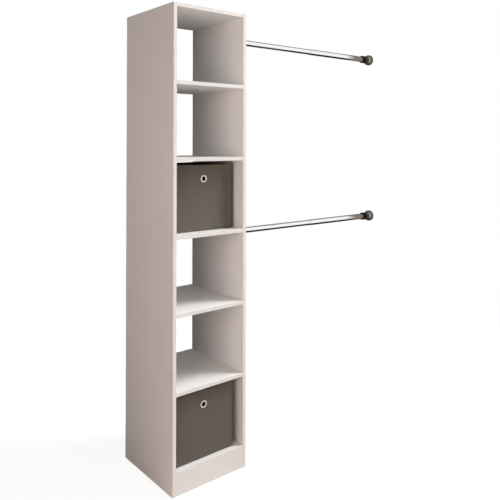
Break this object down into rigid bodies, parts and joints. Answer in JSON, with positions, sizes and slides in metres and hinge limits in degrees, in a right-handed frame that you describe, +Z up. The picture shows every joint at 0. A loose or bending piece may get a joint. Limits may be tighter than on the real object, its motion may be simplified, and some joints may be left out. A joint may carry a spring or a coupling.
{
  "type": "open wardrobe tower with clothes rails",
  "caption": "Tall narrow open shelf tower of white boards with fabric boxes and extending clothes rails that run from its side to a wall.",
  "frame": {"origin": "on the floor, under the middle of the whole unit's bounding box", "axes": "+Z up; the open front faces -Y; the tower stands at the -X end and the rails run along +X to a wall"},
  "size_m": [1.484, 0.405, 2.02],
  "materials": {
    "white_board": "white melamine on particle board, satin",
    "edge_band": "white plastic edge strip, satin",
    "white_plastic": "moulded, matt",
    "beech": "fluted beech",
    "zinc": "zinc plated",
    "chrome_tube": "polished chrome plate",
    "nickel": "satin nickel plate",
    "dark_collar": "dark bronze, satin",
    "grey_plastic": "moulded, matt",
    "box_fabric": "grey-brown pressed non-woven fabric",
    "box_lining": "grey-brown thin non-woven fabric",
    "grey_board": "grey board",
    "eyelet_metal": "bright nickel"
  },
  "bodies": {
    "tower": {"left_side_panel": "white_board", "right_side_panel": "white_board", "top_panel": "white_board", "shelf_1": "white_board", "shelf_2": "white_board", "shelf_3": "white_board", "shelf_4": "white_board", "shelf_5": "white_board", "bottom_panel": "white_board", "plinth_board": "white_board", "side_edge_bands": "edge_band", "shelf_edge_bands": "edge_band", "dowels": "beech", "cam_bolts": "zinc", "cam_locks": "zinc", "cam_caps": "white_plastic", "floor_glides": "white_plastic", "wall_anchor_bracket": "zinc", "wall_anchor_screws": "zinc", "upper_rail_tower_plate": "zinc", "upper_rail_tower_screws": "zinc", "upper_rail_tower_cover": "nickel", "upper_rail_tower_collar": "dark_collar", "upper_rail_tower_grub": "zinc", "upper_rail_inner_tube": "chrome_tube", "upper_rail_plug": "grey_plastic", "lower_rail_tower_plate": "zinc", "lower_rail_tower_screws": "zinc", "lower_rail_tower_cover": "nickel", "lower_rail_tower_collar": "dark_collar", "lower_rail_tower_grub": "zinc", "lower_rail_inner_tube": "chrome_tube", "lower_rail_plug": "grey_plastic"},
    "upper_rail_slider": {"upper_rail_outer_tube": "chrome_tube", "upper_rail_bushing": "grey_plastic", "upper_rail_wall_plate": "zinc", "upper_rail_wall_cover": "nickel", "upper_rail_wall_collar": "dark_collar", "upper_rail_wall_grub": "zinc"},
    "lower_rail_slider": {"lower_rail_outer_tube": "chrome_tube", "lower_rail_bushing": "grey_plastic", "lower_rail_wall_plate": "zinc", "lower_rail_wall_cover": "nickel", "lower_rail_wall_collar": "dark_collar", "lower_rail_wall_grub": "zinc"},
    "upper_box": {"upper_box_cover": "box_fabric", "upper_box_wall_boards": "grey_board", "upper_box_lining": "box_lining", "upper_box_base_board": "grey_board", "upper_box_rim_binding": "box_fabric", "upper_box_eyelet": "eyelet_metal", "upper_box_eyelet_washer": "eyelet_metal"},
    "lower_box": {"lower_box_cover": "box_fabric", "lower_box_wall_boards": "grey_board", "lower_box_lining": "box_lining", "lower_box_base_board": "grey_board", "lower_box_rim_binding": "box_fabric", "lower_box_eyelet": "eyelet_metal", "lower_box_eyelet_washer": "eyelet_metal"}
  },
  "joints": [
    {"name": "upper_rail_extend", "type": "slide", "parent": "tower", "child": "upper_rail_slider", "axis": [1, 0, 0], "range_m": [-0.34, 0.09]},
    {"name": "lower_rail_extend", "type": "slide", "parent": "tower", "child": "lower_rail_slider", "axis": [1, 0, 0], "range_m": [-0.34, 0.09]},
    {"name": "upper_box_slide", "type": "slide", "parent": "tower", "child": "upper_box", "axis": [0, -1, 0], "range_m": [-0.04, 0.195]},
    {"name": "lower_box_slide", "type": "slide", "parent": "tower", "child": "lower_box", "axis": [0, -1, 0], "range_m": [-0.07, 0.165]}
  ]
}
